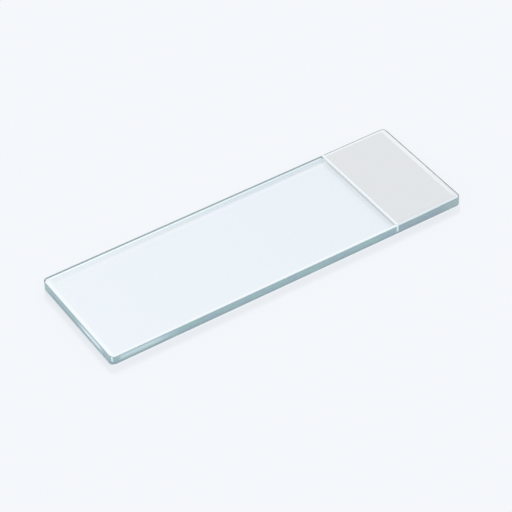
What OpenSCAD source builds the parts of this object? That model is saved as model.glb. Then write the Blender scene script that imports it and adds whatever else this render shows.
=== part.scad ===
// Microscope slide with a coated writing end.
// A flat pane of glass with rounded upright corners and ground edges. A thin matt writing
// coat is printed on its top face at the +X end and closes in a raised line across the pane.
// Frame: +X along the pane towards the writing end, +Y across it, +Z up through its
// thickness. The origin is the centre of the underside.

/* [Glass pane] */
// Length of the glass, end face to end face
pane_length = 75; // [70:0.5:80]
// Width of the glass, long edge to long edge
pane_width = 25; // [22:0.5:30]
// Thickness of the glass
pane_thickness = 2.1; // [1:0.1:3]

/* [Ground edges] */
// Radius of the four upright corners
corner_radius = 1; // [0.6:0.1:3]
// Leg of the 45 degree arris ground along every top and bottom edge
arris_leg = 0.2; // [0.1:0.05:0.4]

/* [Writing coat] */
// Length of the writing end, from the end face to the far side of the closing line
coat_end_length = 14.6; // [8:0.1:30]
// Thickness of the printed coat
coat_thickness = 0.05; // [0.03:0.01:0.2]
// Bare glass between the coat and each long edge
coat_side_border = 0.6; // [0.3:0.05:2]
// Bare glass between the coat and the end face
coat_end_border = 0.8; // [0.3:0.05:2]
// Radius of the coat's two outer corners
coat_corner_radius = 0.8; // [0.3:0.1:2]

/* [Closing line] */
// Width of the raised line, along the pane
line_width = 0.45; // [0.2:0.05:1]
// Height of the raised line above the coat it closes
line_rise = 0.05; // [0.02:0.01:0.2]

/* [Hidden] */
$fn = 64;

// Half sizes of the pane, and where the arris leaves its flat top and bottom faces
half_length = pane_length / 2;
half_width = pane_width / 2;
flat_half_width = half_width - arris_leg;

// The coated field, from the closing line's near side to the bare border at the end face
line_start = half_length - coat_end_length;
field_start = line_start + line_width / 2;
field_end = half_length - coat_end_border;
field_half_width = half_width - coat_side_border;

// Outline from the middle of the pane out to its ground edge, for a given half width:
// a flat underside, the lower arris, the upright face, the upper arris and the flat top
function edge_profile(reach) = [
    [0, 0],
    [reach - arris_leg, 0],
    [reach, arris_leg],
    [reach, pane_thickness - arris_leg],
    [reach - arris_leg, pane_thickness],
    [0, pane_thickness]
];

// Whole cross-section of a bar with a ground edge on both sides
module ground_section(reach) {
    for (side = [0, 1])
        mirror([side, 0])
            polygon(edge_profile(reach));
}

// Straight bar of that section along X, centred on the origin
module ground_bar(length, reach) {
    rotate([90, 0, 90])
        linear_extrude(height = length, center = true)
            ground_section(reach);
}

// Puts its child at the centre of each of the pane's four rounded corners
module at_pane_corners() {
    for (x = [-1, 1], y = [-1, 1])
        translate([x * (half_length - corner_radius), y * (half_width - corner_radius), 0])
            children();
}

// The pane: one bar for the long edges, one for the short edges, and a turned corner at
// each end of both, all sharing one edge profile
module glass_pane() {
    color([0.72, 0.87, 0.90, 0.55]) {
        ground_bar(pane_length - 2 * corner_radius, half_width);
        rotate([0, 0, 90])
            ground_bar(pane_width - 2 * corner_radius, half_length);
        at_pane_corners()
            rotate_extrude()
                polygon(edge_profile(corner_radius));
    }
}

// The coat's flat field, with square corners under the closing line and round ones outside
module coat_field() {
    corner_x = field_end - coat_corner_radius;
    corner_y = field_half_width - coat_corner_radius;
    translate([field_start, -field_half_width, 0])
        cube([corner_x - field_start, 2 * field_half_width, coat_thickness]);
    translate([field_start, -corner_y, 0])
        cube([field_end - field_start, 2 * corner_y, coat_thickness]);
    for (side = [-1, 1])
        translate([corner_x, side * corner_y, 0])
            cylinder(r = coat_corner_radius, h = coat_thickness);
}

// The raised line that closes the coat, from arris to arris across the pane
module closing_line() {
    translate([line_start, -flat_half_width, 0])
        cube([line_width, 2 * flat_half_width, coat_thickness + line_rise]);
}

// The printed coat, seated on the pane's top face
module writing_coat() {
    color([0.88, 0.90, 0.91])
        translate([0, 0, pane_thickness]) {
            coat_field();
            closing_line();
        }
}

glass_pane();
writing_coat();
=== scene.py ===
"""Microscope slide: the looks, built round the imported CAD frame."""

import math

import bmesh
import bpy
from mathutils import Matrix, Vector


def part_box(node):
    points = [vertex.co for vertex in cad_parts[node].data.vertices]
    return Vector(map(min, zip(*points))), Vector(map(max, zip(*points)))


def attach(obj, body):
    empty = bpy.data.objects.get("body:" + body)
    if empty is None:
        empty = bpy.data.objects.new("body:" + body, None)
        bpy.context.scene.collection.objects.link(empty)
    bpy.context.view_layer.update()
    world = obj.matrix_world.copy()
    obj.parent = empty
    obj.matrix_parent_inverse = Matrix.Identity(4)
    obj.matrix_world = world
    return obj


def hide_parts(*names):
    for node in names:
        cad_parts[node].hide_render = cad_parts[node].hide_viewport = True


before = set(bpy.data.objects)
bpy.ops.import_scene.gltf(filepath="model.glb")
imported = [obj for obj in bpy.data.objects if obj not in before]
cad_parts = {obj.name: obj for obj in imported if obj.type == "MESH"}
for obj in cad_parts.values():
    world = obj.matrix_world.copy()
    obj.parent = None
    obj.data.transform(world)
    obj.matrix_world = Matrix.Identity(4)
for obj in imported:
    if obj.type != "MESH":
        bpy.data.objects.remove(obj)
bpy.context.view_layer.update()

MM = 0.001
BODY = "root"

# ---------------------------------------------------------------- sizes, from the frame's boxes

PANE_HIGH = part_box("glass_pane")[1]
COAT_LOW, COAT_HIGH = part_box("writing_coat")
HALF_LENGTH = PANE_HIGH.x
HALF_WIDTH = PANE_HIGH.y
THICKNESS = PANE_HIGH.z
LINE_START = COAT_LOW.x
LINE_HEIGHT = COAT_HIGH.z - THICKNESS
COAT_END = COAT_HIGH.x

# ---------------------------------------------------------------- sizes as in part.scad

CORNER_RADIUS = 1.0 * MM
ARRIS = 0.2 * MM
LINE_WIDTH = 0.45 * MM
COAT_THICKNESS = 0.05 * MM
COAT_SIDE_BORDER = 0.6 * MM
COAT_CORNER_RADIUS = 0.8 * MM

# ---------------------------------------------------------------- sizes that only the looks have

LINE_BEVEL = 0.06 * MM
LINE_SHOULDER = 0.4 * LINE_HEIGHT
COAT_SLOPE = 0.15 * MM

# how finely the round forms and the straight runs are cut
CORNER_STEPS = 12
COAT_CORNER_STEPS = 8
ARRIS_STEPS = 6
SIDE_STEPS = 6
RUN_SPACING = 1.0 * MM


def colour(red, green, blue):
    """A colour given in 8-bit sRGB, as Blender's linear RGBA."""
    def linear(v):
        v /= 255
        return v / 12.92 if v <= 0.04045 else ((v + 0.055) / 1.055) ** 2.4
    return (linear(red), linear(green), linear(blue), 1.0)


# ---------------------------------------------------------------- meshes

GLASS_ZONES = ["top", "underside", "side", "upper_arris", "lower_arris"]


def outline_stations():
    """Stations round the pane, anticlockwise: (point CORNER_RADIUS inside the outline, way out)."""
    cx, cy = HALF_LENGTH - CORNER_RADIUS, HALF_WIDTH - CORNER_RADIUS
    corners = [(cx, cy, 0.0), (-cx, cy, 0.5), (-cx, -cy, 1.0), (cx, -cy, 1.5)]
    stations = []
    for i, (x, y, turn) in enumerate(corners):
        for step in range(CORNER_STEPS + 1):
            angle = math.pi * (turn + 0.5 * step / CORNER_STEPS)
            stations.append((Vector((x, y)), Vector((math.cos(angle), math.sin(angle)))))
        next_x, next_y, _ = corners[(i + 1) % 4]
        run = Vector((next_x - x, next_y - y))
        count = max(1, round(run.length / RUN_SPACING))
        normal = stations[-1][1].copy()
        for step in range(1, count):
            stations.append((Vector((x, y)) + run * (step / count), normal))
    return stations


def edge_profile():
    """(inset, height) from the underside up: rounded lower arris, side, 45 degree upper arris."""
    points = []
    for step in range(ARRIS_STEPS + 1):
        a = 0.5 * math.pi * step / ARRIS_STEPS
        points.append((ARRIS * (1 - math.sin(a)), ARRIS * (1 - math.cos(a))))
    for step in range(1, SIDE_STEPS + 1):
        points.append((0.0, ARRIS + (THICKNESS - 2 * ARRIS) * step / SIDE_STEPS))
    points.append((ARRIS, THICKNESS))
    return points


def bridge(bm, ring, next_ring):
    """Faces between two closed rings with the same number of points."""
    faces = []
    for i in range(len(ring)):
        j = (i + 1) % len(ring)
        faces.append(bm.faces.new((ring[i], ring[j], next_ring[j], next_ring[i])))
    return faces


def finished_mesh(name, bm):
    """The mesh that bm holds. bm is freed."""
    mesh = bpy.data.meshes.new(name)
    bm.to_mesh(mesh)
    bm.free()
    return mesh


def new_object(name, mesh, materials):
    """An object in the scene, with these materials in the order of the mesh's own numbers."""
    piece = bpy.data.objects.new(name, mesh)
    bpy.context.scene.collection.objects.link(piece)
    for material in materials:
        mesh.materials.append(material)
    return piece


def glass_mesh():
    """The pane as one closed surface, its materials in the order of GLASS_ZONES."""
    bm = bmesh.new()
    stations = outline_stations()
    rings = []
    for inset, z in edge_profile():
        ring = []
        for centre, normal in stations:
            p = centre + normal * (CORNER_RADIUS - inset)
            ring.append(bm.verts.new((p.x, p.y, z)))
        rings.append(ring)
    zones = ["lower_arris"] * ARRIS_STEPS + ["side"] * SIDE_STEPS + ["upper_arris"]
    for ring, next_ring, zone in zip(rings, rings[1:], zones):
        for face in bridge(bm, ring, next_ring):
            face.material_index = GLASS_ZONES.index(zone)
            face.smooth = True
    underside = bm.faces.new(list(reversed(rings[0])))
    underside.material_index = GLASS_ZONES.index("underside")
    top = bm.faces.new(rings[-1])
    top.material_index = GLASS_ZONES.index("top")
    return finished_mesh("glass_pane_mesh", bm)


def coat_outline(inset):
    """The printed field's outline: square under the closing line, round at its outer corners.
    inset draws in all of it but the edge under the line."""
    start = LINE_START + LINE_WIDTH * 0.5
    half_y = HALF_WIDTH - COAT_SIDE_BORDER
    radius = COAT_CORNER_RADIUS - inset
    points = [Vector((start, inset - half_y))]
    for side, first_turn in ((-1, -0.5), (1, 0.0)):
        for step in range(COAT_CORNER_STEPS + 1):
            a = math.pi * (first_turn + 0.5 * step / COAT_CORNER_STEPS)
            points.append(Vector((COAT_END - COAT_CORNER_RADIUS + radius * math.cos(a),
                                  side * (half_y - COAT_CORNER_RADIUS) + radius * math.sin(a))))
    points.append(Vector((start, half_y - inset)))
    return points


def coat_mesh():
    """The printed field: a thin slab whose edge thins out in a slope."""
    bm = bmesh.new()
    top = THICKNESS + COAT_THICKNESS
    low = [bm.verts.new((p.x, p.y, THICKNESS)) for p in coat_outline(0.0)]
    high = [bm.verts.new((p.x, p.y, top)) for p in coat_outline(COAT_SLOPE)]
    bridge(bm, low, high)
    bm.faces.new(high)
    bm.faces.new(list(reversed(low)))
    return finished_mesh("coat_mesh", bm)


def line_mesh():
    """The raised line: a low flat-topped bead from arris to arris, with its top edges bevelled."""
    section = [(0.0, 0.0), (0.0, LINE_SHOULDER), (LINE_BEVEL, LINE_HEIGHT),
               (LINE_WIDTH - LINE_BEVEL, LINE_HEIGHT), (LINE_WIDTH, LINE_SHOULDER),
               (LINE_WIDTH, 0.0)]
    bm = bmesh.new()
    ends = []
    for y in (ARRIS - HALF_WIDTH, HALF_WIDTH - ARRIS):
        ends.append([bm.verts.new((LINE_START + x, y, THICKNESS + z)) for x, z in section])
    bridge(bm, ends[0], ends[1])
    bm.faces.new(ends[0])
    bm.faces.new(list(reversed(ends[1])))
    bmesh.ops.recalc_face_normals(bm, faces=bm.faces)
    return finished_mesh("line_mesh", bm)


# ---------------------------------------------------------------- nodes

class Nodes:
    """The nodes of a material or of the world, and short ways to wire them."""

    def __init__(self, owner, output_kind):
        owner.use_nodes = True
        self.owner = owner
        self.tree = owner.node_tree
        self.tree.nodes.clear()
        self.output = self.tree.nodes.new(output_kind)

    def set(self, socket, value):
        """Links value if it is another node's output, and otherwise writes it into the socket."""
        if isinstance(value, bpy.types.NodeSocket):
            self.tree.links.new(value, socket)
        else:
            socket.default_value = value

    def node(self, kind, **inputs):
        """A new node, with its inputs given by name and _ for a space."""
        made = self.tree.nodes.new(kind)
        for name, value in inputs.items():
            self.set(made.inputs[name.replace("_", " ")], value)
        return made

    def math(self, operation, a, b=0.0):
        """The result of one Math node."""
        made = self.tree.nodes.new("ShaderNodeMath")
        made.operation = operation
        self.set(made.inputs[0], a)
        self.set(made.inputs[1], b)
        return made.outputs[0]

    def plus(self, a, b):
        return self.math("ADD", a, b)

    def minus(self, a, b):
        return self.math("SUBTRACT", a, b)

    def times(self, a, b):
        return self.math("MULTIPLY", a, b)

    def larger(self, a, b):
        return self.math("MAXIMUM", a, b)

    def smaller(self, a, b):
        return self.math("MINIMUM", a, b)

    def rest_of(self, share):
        """What the share leaves of 1."""
        return self.math("SUBTRACT", 1.0, share)

    def under(self, value, limit):
        """1 where value is less than limit and 0 elsewhere, with a hard border."""
        return self.math("LESS_THAN", value, limit)

    def over(self, value, limit):
        """1 where value is more than limit and 0 elsewhere, with a hard border."""
        return self.math("GREATER_THAN", value, limit)

    def ease(self, value, low, high, at_low, at_high):
        """Goes smoothly from at_low, where value is low, to at_high, where it is high."""
        made = self.tree.nodes.new("ShaderNodeMapRange")
        made.interpolation_type = "SMOOTHSTEP"
        for i, v in enumerate((value, low, high, at_low, at_high)):
            self.set(made.inputs[i], v)
        return made.outputs[0]

    def rise(self, value, low, high, top=1.0):
        return self.ease(value, low, high, 0.0, top)

    def fall(self, value, low, high, top=1.0):
        return self.ease(value, low, high, top, 0.0)

    def band(self, value, going_up, going_down):
        """0, then 1 from the end of going_up to the start of going_down, then 0 again."""
        return self.times(self.rise(value, *going_up), self.fall(value, *going_down))

    def hump(self, value, low, peak, high):
        """Rises from 0 at low to 1 at peak, and falls back to 0 at high."""
        return self.band(value, (low, peak), (peak, high))

    def mix_colour(self, factor, a, b):
        made = self.tree.nodes.new("ShaderNodeMix")
        made.data_type = "RGBA"
        self.set(made.inputs["Factor"], factor)
        self.set(made.inputs[6], a)
        self.set(made.inputs[7], b)
        return made.outputs[2]

    def mix_shader(self, factor, a, b):
        made = self.tree.nodes.new("ShaderNodeMixShader")
        self.set(made.inputs[0], factor)
        self.set(made.inputs[1], a)
        self.set(made.inputs[2], b)
        return made.outputs[0]

    def finish(self, surface):
        """Wires the surface to the output, and returns the material or world."""
        self.set(self.output.inputs["Surface"], surface)
        return self.owner


class SlideMaterial(Nodes):
    """A material of the slide, with the object's own coordinates in metres: where, or x, y, z."""

    def __init__(self, name):
        super().__init__(bpy.data.materials.new(name), "ShaderNodeOutputMaterial")
        self.where = self.tree.nodes.new("ShaderNodeTexCoord").outputs["Object"]
        self.x, self.y, self.z = self.node("ShaderNodeSeparateXYZ", Vector=self.where).outputs

    def from_clear_end(self):
        return self.plus(self.x, HALF_LENGTH)

    def from_writing_end(self):
        return self.minus(HALF_LENGTH, self.x)

    def from_near_edge(self):
        return self.plus(self.y, HALF_WIDTH)

    def from_far_edge(self):
        return self.minus(HALF_WIDTH, self.y)

    def on_clear_end(self):
        """1 on the short side at the clear end, and 0 once round its corners."""
        return self.fall(self.from_clear_end(), 0.0, 0.6 * MM)

    def on_coat_end(self):
        """0 up to the closing line, and 1 beyond it."""
        return self.rise(self.x, LINE_START, LINE_START + LINE_WIDTH)

    def towards_line(self):
        """0 at the clear end, growing to 1 at the closing line."""
        return self.rise(self.x, -HALF_LENGTH, LINE_START)

    def noise(self, where, scale, detail=2.0):
        """Smooth noise, near 0.5 on average."""
        return self.node("ShaderNodeTexNoise", Vector=where, Scale=scale, Detail=detail).outputs[0]

    def flattened(self, by):
        """The object's coordinates with z scaled up, so that noise is this much finer upwards."""
        scaled = self.node("ShaderNodeVectorMath", Vector=self.where)
        scaled.operation = "MULTIPLY"
        scaled.inputs[1].default_value = (1.0, 1.0, by)
        return scaled.outputs[0]

    def wander(self, width):
        """The raggedness of a border, within half of width to either side."""
        return self.times(self.minus(self.noise(self.where, 900.0), 0.5), width)

    def backfacing(self):
        """1 where the surface is seen from inside the glass."""
        return self.tree.nodes.new("ShaderNodeNewGeometry").outputs["Backfacing"]

    def two_sided(self, outside, inside_colour):
        """The shader outside. From inside the glass, light from behind shows in this colour."""
        inside = self.node("ShaderNodeBsdfTranslucent", Color=inside_colour)
        return self.mix_shader(self.backfacing(), outside.outputs[0], inside.outputs[0])

    def let_light_through(self, surface, tint):
        """Lamps and bounced light pass straight on, tinted, as through thin clear glass."""
        path = self.tree.nodes.new("ShaderNodeLightPath")
        passing = self.larger(path.outputs["Is Shadow Ray"], path.outputs["Is Diffuse Ray"])
        clear = self.node("ShaderNodeBsdfTransparent", Color=tint)
        return self.mix_shader(passing, surface, clear.outputs[0])


# ---------------------------------------------------------------- materials

WHITE = (1.0, 1.0, 1.0, 1.0)
BLACK = (0.0, 0.0, 0.0, 1.0)

# how much lamp light and bounced light passes each surface, by colour
POLISHED_PASS = (0.985, 0.993, 0.995, 1.0)
SIDE_PASS = (0.76, 0.775, 0.80, 1.0)
UPPER_ARRIS_PASS = (0.9, 0.92, 0.93, 1.0)
LOWER_ARRIS_PASS = (0.93, 0.97, 0.98, 1.0)
LOWER_ARRIS_END_PASS = (0.5, 0.58, 0.6, 1.0)
COAT_PASS = (0.98, 0.98, 0.98, 1.0)
LINE_PASS = (0.97, 0.97, 0.97, 1.0)

GLASS_IOR = 1.5
GROUND_TEAL = colour(181, 212, 219)

# how far in from the pane's outline the top face's painted bands of light and shade lie
END_GLOW = 1.2 * MM
FAR_STRIP = 0.7 * MM
CLEAR_RIM = 0.36 * MM
RIM_LINE = 0.32 * MM


def inset_from_outline(s):
    """Distance in from the pane's rounded outline."""
    over_x = s.minus(s.math("ABSOLUTE", s.x), HALF_LENGTH - CORNER_RADIUS)
    over_y = s.minus(s.math("ABSOLUTE", s.y), HALF_WIDTH - CORNER_RADIUS)
    corner_x = s.larger(over_x, 0.0)
    corner_y = s.larger(over_y, 0.0)
    squares = s.plus(s.times(corner_x, corner_x), s.times(corner_y, corner_y))
    straight = s.smaller(s.larger(over_x, over_y), 0.0)
    return s.minus(s.minus(CORNER_RADIUS, s.math("SQRT", squares)), straight)


def polished(s, tint):
    return s.node("ShaderNodeBsdfPrincipled", Base_Color=tint, Roughness=0.0, IOR=GLASS_IOR,
                  Transmission_Weight=1.0).outputs[0]


def glass_tint(s):
    """The glass's tint, with painted shade deepening it towards the writing end."""
    return s.mix_colour(s.towards_line(), colour(251, 253, 254), colour(247, 251, 253))


def painted_border_round_coat(s):
    """Where the coated end's top is a flat border of painted light and shade: all but a thin clear
    rim, which the near edge lacks.
    """
    inside_rim = s.over(s.plus(inset_from_outline(s), s.wander(0.12 * MM)), CLEAR_RIM)
    near_edge = s.under(s.from_near_edge(), 0.5 * MM)
    return s.times(s.larger(inside_rim, near_edge), s.on_coat_end())


def top_face():
    """The polished top, with hard-edged flat patches of painted light and shade: a white band of
    painted glow beside the clear end, brightest at that end, and a border round the coat. A
    painted white highlight runs along the near edge, and a painted grey shade line round the far
    corner of the clear end."""
    s = SlideMaterial("polished_top")
    # painted glow beside the clear end, and a painted white highlight along the near edge
    glow_beside_end = s.times(s.under(s.from_clear_end(), END_GLOW),
                         s.over(s.from_far_edge(), FAR_STRIP))
    near_highlight = s.under(s.from_near_edge(), RIM_LINE)
    # painted grey shade line round the far corner of the clear end
    far_corner = s.times(s.under(s.from_clear_end(), 0.8 * MM),
                         s.under(s.from_far_edge(), 1.0 * MM))
    corner_shade_line = s.times(s.under(inset_from_outline(s), RIM_LINE), far_corner)

    whiter_glow = s.times(s.fall(s.from_clear_end(), 0.45 * MM, 1.1 * MM),
                     s.rise(s.from_far_edge(), FAR_STRIP, 1.8 * MM))
    painted_colour = s.mix_colour(whiter_glow, colour(238, 244.3, 249.3), colour(246, 251.5, 254))
    painted_colour = s.mix_colour(near_highlight, painted_colour, colour(246, 255, 255))
    painted_colour = s.mix_colour(corner_shade_line, painted_colour, colour(168, 181, 186))
    # painted light and shade: the coat's border is lighter on the far half, darker on the near half
    near_half = s.fall(s.y, -0.8 * HALF_WIDTH, 0.0)
    border = s.mix_colour(near_half, colour(238, 242, 245), colour(228, 233, 237))
    flat_painted = s.node("ShaderNodeBsdfDiffuse", Color=s.mix_colour(s.on_coat_end(), painted_colour, border))

    painted_lines = s.larger(near_highlight, corner_shade_line)
    amount = s.larger(painted_lines, s.larger(glow_beside_end, painted_border_round_coat(s)))
    surface = s.mix_shader(amount, polished(s, glass_tint(s)), flat_painted.outputs[0])
    return s.finish(s.let_light_through(surface, POLISHED_PASS))


def light_under_coat(s):
    """Light left on the underside, as painted shadow of the coat and its closing line: less from
    just before the closing line on, and least along a thin line below it, which stops short of
    the far edge."""
    thin = s.hump(s.x, LINE_START + 0.26 * MM, LINE_START + 0.43 * MM, LINE_START + 0.66 * MM)
    thin = s.times(thin, s.rise(s.from_far_edge(), 1.0 * MM, 1.5 * MM))
    soft = s.rise(s.x, LINE_START - 0.75 * MM, LINE_START - 0.3 * MM)
    return s.minus(s.rest_of(s.times(soft, 0.08)), s.times(thin, 0.34))


def underside_face():
    """The polished underside, with a dim strip of painted shade along the far edge, where the far
    ground edge throws its shade, and a painted bright line beside that strip and along the clear
    end."""
    s = SlideMaterial("polished_underside")
    # painted shade: a dim strip along the far edge, darker towards the writing end
    strip = s.fall(s.from_far_edge(), FAR_STRIP, 1.15 * MM)
    deeper = s.rise(s.x, -HALF_LENGTH, 0.3 * LINE_START)
    dim = s.mix_colour(deeper, colour(248, 251, 253), colour(216, 225, 228))
    tint = s.mix_colour(strip, glass_tint(s), dim)
    inset = s.smaller(s.from_far_edge(), s.from_clear_end())
    # painted light: a bright line beside the shade strip and along the clear end
    tint = s.mix_colour(s.hump(inset, 0.9 * MM, 1.35 * MM, 2.8 * MM), tint, WHITE)
    passed = s.mix_colour(light_under_coat(s), BLACK, POLISHED_PASS)
    return s.finish(s.let_light_through(polished(s, tint), passed))


def side_colour(s):
    """Teal ground glass, with painted shade deepening it at its foot, and faint greener and bluer
    patches. It is greyer on the coated end, lighter at the writing end, and darkened with painted
    shade at two of the corners."""
    # painted shade: a darker foot, darkest at the clear end
    foot = s.mix_colour(s.on_clear_end(), colour(174, 198, 204), colour(154, 182, 186))
    body = s.mix_colour(s.rise(s.z, 0.2 * THICKNESS, 0.45 * THICKNESS), foot, GROUND_TEAL)
    patches = s.noise(s.flattened(2.0), 420.0)
    body = s.mix_colour(s.rise(patches, 0.48, 0.7, 0.75), body, colour(176, 220, 214))
    body = s.mix_colour(s.fall(patches, 0.3, 0.48, 0.75), body, colour(176, 200, 216))
    body = s.mix_colour(s.times(s.on_coat_end(), 0.55), body, colour(172, 192, 203))
    # painted shade round the far corner of the clear end
    far_turn_shade = s.fall(s.plus(s.from_clear_end(), s.from_far_edge()), 0.6 * MM, 1.4 * MM)
    body = s.mix_colour(far_turn_shade, body, colour(162, 186, 188))
    last_part = s.fall(s.from_writing_end(), 2.2 * MM, 5.5 * MM)
    body = s.mix_colour(last_part, body, colour(186, 211, 214))
    # painted shade round the near corner of the writing end
    near_turn_shade = s.times(s.hump(s.from_near_edge(), 0.02 * MM, 0.35 * MM, 1.3 * MM),
                        s.fall(s.from_writing_end(), 0.4 * MM, 0.7 * MM))
    return s.mix_colour(near_turn_shade, body, colour(156, 176, 180))


def streaks(s):
    """How much painted highlight, standing for the glass's inner light, shows on the ground sides,
    either side of the near clear corner."""
    from_corner = s.plus(s.from_clear_end(), s.from_near_edge())
    short_side = s.band(from_corner, (2.4 * MM, 5 * MM), (8.5 * MM, 13.5 * MM))
    long_side = s.band(from_corner, (1.2 * MM, 2.2 * MM), (8 * MM, 15 * MM))
    along = s.plus(s.times(short_side, s.on_clear_end()),
                   s.times(s.times(long_side, 0.6), s.rest_of(s.on_clear_end())))
    return s.times(along, s.hump(s.z, 0.15 * THICKNESS, 0.56 * THICKNESS, THICKNESS))


def line_mark(s):
    """Where the closing line's white runs on over the edge, as a narrow mark down the side."""
    across = s.band(s.x, (LINE_START - 0.06 * MM, LINE_START + 0.04 * MM),
                    (LINE_START + 0.36 * MM, LINE_START + 0.46 * MM))
    return s.times(across, s.rise(s.z, 0.18 * THICKNESS, 0.36 * THICKNESS))


def corner_highlight(s):
    """A white run down the polished turn of the near corner at the clear end."""
    off_diagonal = s.minus(s.from_clear_end(), s.from_near_edge())
    diagonal = s.band(off_diagonal, (-0.42 * MM, -0.2 * MM), (0.1 * MM, 0.32 * MM))
    at_corner = s.fall(s.plus(s.from_clear_end(), s.from_near_edge()), 0.7 * MM, 1.2 * MM)
    run = s.rise(s.z, 0.2 * THICKNESS, 0.46 * THICKNESS, 0.85)
    return s.times(s.times(diagonal, at_corner), run)


def shade_on_far_side(s):
    """The closing line's shade down the far side's inside, slanted to meet the underside's."""
    depth = s.minus(THICKNESS, s.z)
    slant = s.minus(s.minus(s.x, LINE_START), s.times(depth, 0.24))
    return s.hump(slant, -0.5 * MM, -0.1 * MM, 0.4 * MM)


def dark_rim(s):
    """The dark line that the top of a far edge makes, seen from inside the glass: painted shade."""
    return s.mix_colour(s.on_coat_end(), colour(138, 153, 155), colour(138, 143, 146))


def side_from_inside(s):
    """A far side seen from inside the glass: a dark rim over a pale foot, with the line's shade."""
    pale = s.mix_colour(s.towards_line(), colour(229, 236, 236), colour(213, 221, 222))
    pale = s.mix_colour(shade_on_far_side(s), pale, colour(138, 156, 164))
    upper = s.rise(s.z, THICKNESS - 1.3 * MM, THICKNESS - 1.1 * MM)
    return s.mix_colour(upper, pale, dark_rim(s))


def side_face():
    """Ground side: teal outside, with painted glints, and a painted highlight just under the arris
    of the long clear sides. From inside the glass, light shows through it."""
    s = SlideMaterial("ground_side")
    glint = s.larger(corner_highlight(s), s.times(line_mark(s), 0.85))
    glint = s.larger(glint, streaks(s))
    # painted highlight along the top of the side, under the arris
    highlight_under_arris = s.times(s.rise(s.z, THICKNESS - ARRIS - 0.12 * MM, THICKNESS - ARRIS, 0.6),
                      s.rest_of(s.larger(s.on_clear_end(), s.on_coat_end())))
    body = s.mix_colour(s.larger(glint, highlight_under_arris), side_colour(s), colour(238, 254, 255))
    outside = s.node("ShaderNodeBsdfPrincipled", Base_Color=body, Roughness=0.35, IOR=GLASS_IOR,
                     Metallic=glint)
    surface = s.two_sided(outside, side_from_inside(s))
    passed = s.mix_colour(s.backfacing(), SIDE_PASS, WHITE)
    return s.finish(s.let_light_through(surface, passed))


def upper_arris():
    """Fine-ground arris: a bright glint along the near edges, and painted grey shade without a
    glint along the two far ones. Its lower half is ground teal round the clear end, and again
    towards the writing end."""
    s = SlideMaterial("upper_arris")
    mark = line_mark(s)
    # painted shade: the two far edges are grey and do not glint
    far = s.larger(s.fall(s.from_far_edge(), 0.8 * MM, 1.1 * MM),
                   s.fall(s.from_writing_end(), 0.3 * MM, 0.8 * MM))
    far = s.times(far, s.rest_of(mark))
    at_ends = s.larger(s.fall(s.from_clear_end(), 0.25 * MM, 0.5 * MM),
                       s.fall(s.from_writing_end(), 2 * MM, 10 * MM))
    ground = s.times(s.fall(s.z, THICKNESS - 0.17 * MM, THICKNESS - 0.11 * MM), at_ends)
    dull = s.larger(far, ground)

    body = s.mix_colour(s.noise(s.where, 700.0), colour(250, 255, 255), WHITE)
    body = s.mix_colour(s.on_coat_end(), body, colour(238, 249, 252))
    body = s.mix_colour(mark, body, colour(248, 255, 255))
    teal = s.mix_colour(s.on_coat_end(), GROUND_TEAL, colour(170, 190, 197))
    body = s.mix_colour(ground, body, teal)
    grey = s.mix_colour(s.on_coat_end(), colour(148, 162, 166), colour(182, 186, 189))
    body = s.mix_colour(far, body, grey)

    shine = s.times(s.rest_of(s.times(s.on_coat_end(), 0.2)), s.rest_of(dull))
    roughness = s.plus(0.15, s.times(dull, 0.4))
    outside = s.node("ShaderNodeBsdfPrincipled", Base_Color=body, Metallic=shine,
                     Roughness=roughness, IOR=GLASS_IOR, Specular_IOR_Level=0.0)
    surface = s.two_sided(outside, dark_rim(s))
    return s.finish(s.let_light_through(surface, UPPER_ARRIS_PASS))


def lower_arris():
    """The arris that stands on the table: dark with painted shade outside, pale seen through the
    glass.
    """
    s = SlideMaterial("lower_arris")
    # painted shade: a dark line at the foot, darkest at the clear end and on the coated end
    body = s.mix_colour(s.noise(s.where, 300.0), colour(140, 162, 168), colour(154, 176, 182))
    body = s.mix_colour(s.on_clear_end(), body, colour(126, 150, 156))
    body = s.mix_colour(s.times(s.on_coat_end(), 0.8), body, colour(122, 142, 150))
    outside = s.node("ShaderNodeBsdfPrincipled", Base_Color=body, Roughness=0.4, IOR=GLASS_IOR)
    pale = s.mix_colour(s.towards_line(), colour(238, 245, 245), colour(221, 231, 232))
    passed = s.mix_colour(s.on_clear_end(), LOWER_ARRIS_PASS, LOWER_ARRIS_END_PASS)
    return s.finish(s.let_light_through(s.two_sided(outside, pale), passed))


def coat_edges(s):
    """How much the coat lightens at its edges: raggedly at the two far ones, a little at the near
    one.
    """
    ragged = s.wander(0.35 * MM)
    far = s.fall(s.plus(s.from_far_edge(), ragged), 0.78 * MM, 1.05 * MM, 0.9)
    end = s.fall(s.plus(s.from_writing_end(), ragged), 1.05 * MM, 1.5 * MM, 0.9)
    near = s.fall(s.from_near_edge(), 0.7 * MM, 0.85 * MM, 0.35)
    return s.larger(s.larger(far, end), near)


def coat_material():
    """Fine matt print: faint mottling and grain, lighter at its edges."""
    s = SlideMaterial("writing_coat")
    mottle = s.rise(s.noise(s.where, 190.0, 3.0), 0.3, 0.7)
    grain = s.noise(s.where, 5200.0)
    body = s.mix_colour(mottle, colour(226, 228, 232), colour(224, 229, 231))
    body = s.mix_colour(s.times(grain, 0.25), body, colour(231, 234, 237))
    body = s.mix_colour(coat_edges(s), body, colour(240, 243, 246))
    bump = s.node("ShaderNodeBump", Height=grain, Strength=0.15, Distance=0.02 * MM)
    coat_print = s.node("ShaderNodeBsdfPrincipled", Base_Color=body, Roughness=0.8,
                        Specular_IOR_Level=0.25, Normal=bump.outputs[0])
    return s.finish(s.let_light_through(coat_print.outputs[0], COAT_PASS))


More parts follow.
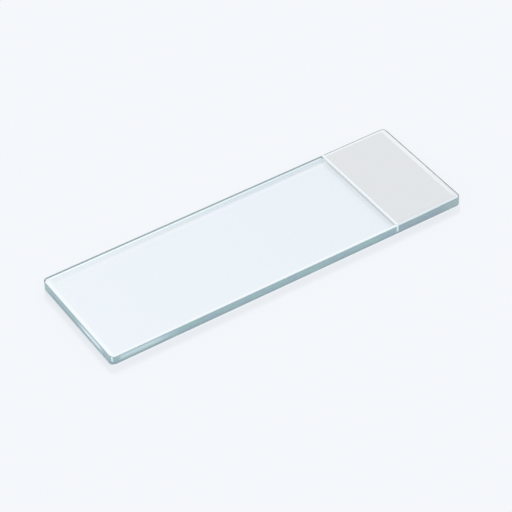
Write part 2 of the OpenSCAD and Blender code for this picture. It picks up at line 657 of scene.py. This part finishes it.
def line_material():
    """The closing line's white print."""
    s = SlideMaterial("closing_line")
    body = s.mix_colour(s.noise(s.where, 1500.0), colour(243, 250, 254), colour(249, 255, 255))
    line_print = s.node("ShaderNodeBsdfPrincipled", Base_Color=body, Roughness=0.55,
                        Specular_IOR_Level=0.3)
    return s.finish(s.let_light_through(line_print.outputs[0], LINE_PASS))


# ---------------------------------------------------------------- the slide's pieces

GLASS_MATERIALS = {"top": top_face, "underside": underside_face, "side": side_face,
                   "upper_arris": upper_arris, "lower_arris": lower_arris}
glass = new_object("glass_pane_shown", glass_mesh(),
                   [GLASS_MATERIALS[zone]() for zone in GLASS_ZONES])
coat = new_object("writing_coat_shown", coat_mesh(), [coat_material()])
line = new_object("closing_line_shown", line_mesh(), [line_material()])
for piece, node, slot in ((glass, "glass_pane", "clear_glass"),
                          (coat, "writing_coat", "matt_coat"),
                          (line, "writing_coat", "matt_coat")):
    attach(piece, BODY)
    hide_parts(node)

# ---------------------------------------------------------------- floor, lights and camera

BACKGROUND = colour(244.6, 247.3, 251.2)
FLOOR_HALF_SIZE = 3.0
FLOOR_DROP = 0.02 * MM

# shares of the light on a level surface, 1 in all, so that white comes out white
AMBIENT = 0.4
TOP_LIGHT = 0.3
BACK_LIGHT = 0.3

# angles in degrees and lens in millimetres, fitted to the slide's outline in the photo
CAMERA_AZIMUTH = -30.469
CAMERA_ELEVATION = 41.478
CAMERA_ROLL = -3.229
CAMERA_DISTANCE = 434.1 * MM
CAMERA_LENS = 166.5703
CAMERA_SENSOR = 36
AIM_RIGHT = 0.173 * MM
AIM_UP = -1.966 * MM


def towards(azimuth, elevation):
    """Unit vector towards a viewpoint. Azimuth 0 is the -Y side, and 90 is the +X side."""
    a, e = math.radians(azimuth), math.radians(elevation)
    return Vector((math.sin(a) * math.cos(e), -math.cos(a) * math.cos(e), math.sin(e)))


def floor():
    """A wide plain floor, just under the slide and of the background's colour."""
    bm = bmesh.new()
    bmesh.ops.create_grid(bm, x_segments=1, y_segments=1, size=FLOOR_HALF_SIZE)
    s = Nodes(bpy.data.materials.new("floor"), "ShaderNodeOutputMaterial")
    plain = s.node("ShaderNodeBsdfDiffuse", Color=BACKGROUND)
    obj = new_object("floor", finished_mesh("floor", bm), [s.finish(plain.outputs[0])])
    obj.location.z = -FLOOR_DROP


def sun(name, azimuth, elevation, share, size):
    """A lamp that gives a level white surface this share of full light. Angles and size are in
    degrees. Reflections and views through the glass don't show it."""
    data = bpy.data.lights.new(name, "SUN")
    data.energy = share * math.pi / math.sin(math.radians(elevation))
    data.angle = math.radians(size)
    lamp = bpy.data.objects.new(name, data)
    lamp.rotation_mode = "QUATERNION"
    lamp.rotation_quaternion = towards(azimuth, elevation).to_track_quat("Z", "Y")
    lamp.visible_glossy = False
    lamp.visible_transmission = False
    bpy.context.scene.collection.objects.link(lamp)


def sky():
    """Even white light from all round. The camera, reflections and views through the glass see
    the background's colour instead."""
    s = Nodes(bpy.data.worlds.new("studio"), "ShaderNodeOutputWorld")
    path = s.node("ShaderNodeLightPath")
    seen = s.larger(path.outputs["Is Camera Ray"], path.outputs["Is Glossy Ray"])
    seen = s.larger(seen, path.outputs["Is Transmission Ray"])
    light = s.node("ShaderNodeBackground", Color=WHITE, Strength=AMBIENT)
    shown = s.node("ShaderNodeBackground", Color=BACKGROUND)
    bpy.context.scene.world = s.finish(s.mix_shader(seen, light.outputs[0], shown.outputs[0]))


def camera():
    """The photo's view: aimed a little off the origin, and rolled about its own axis."""
    back = towards(CAMERA_AZIMUTH, CAMERA_ELEVATION)
    level = Vector((0, 0, 1)).cross(back).normalized()
    up = back.cross(level)
    roll = math.radians(CAMERA_ROLL)
    across = level * math.cos(roll) + up * math.sin(roll)
    upright = up * math.cos(roll) - level * math.sin(roll)
    data = bpy.data.cameras.new("camera")
    data.sensor_width = CAMERA_SENSOR
    data.lens = CAMERA_LENS
    data.clip_start = 0.01
    data.clip_end = 20
    cam = bpy.data.objects.new("camera", data)
    cam.location = across * AIM_RIGHT + upright * AIM_UP + back * CAMERA_DISTANCE
    cam.rotation_mode = "QUATERNION"
    cam.rotation_quaternion = Matrix((across, upright, back)).transposed().to_quaternion()
    bpy.context.scene.collection.objects.link(cam)
    bpy.context.scene.camera = cam


floor()
sun("back_light", azimuth=149.5, elevation=41, share=BACK_LIGHT, size=14)
sun("top_light", azimuth=0, elevation=90, share=TOP_LIGHT, size=12)
sky()
camera()
bpy.context.scene.view_settings.view_transform = "Standard"
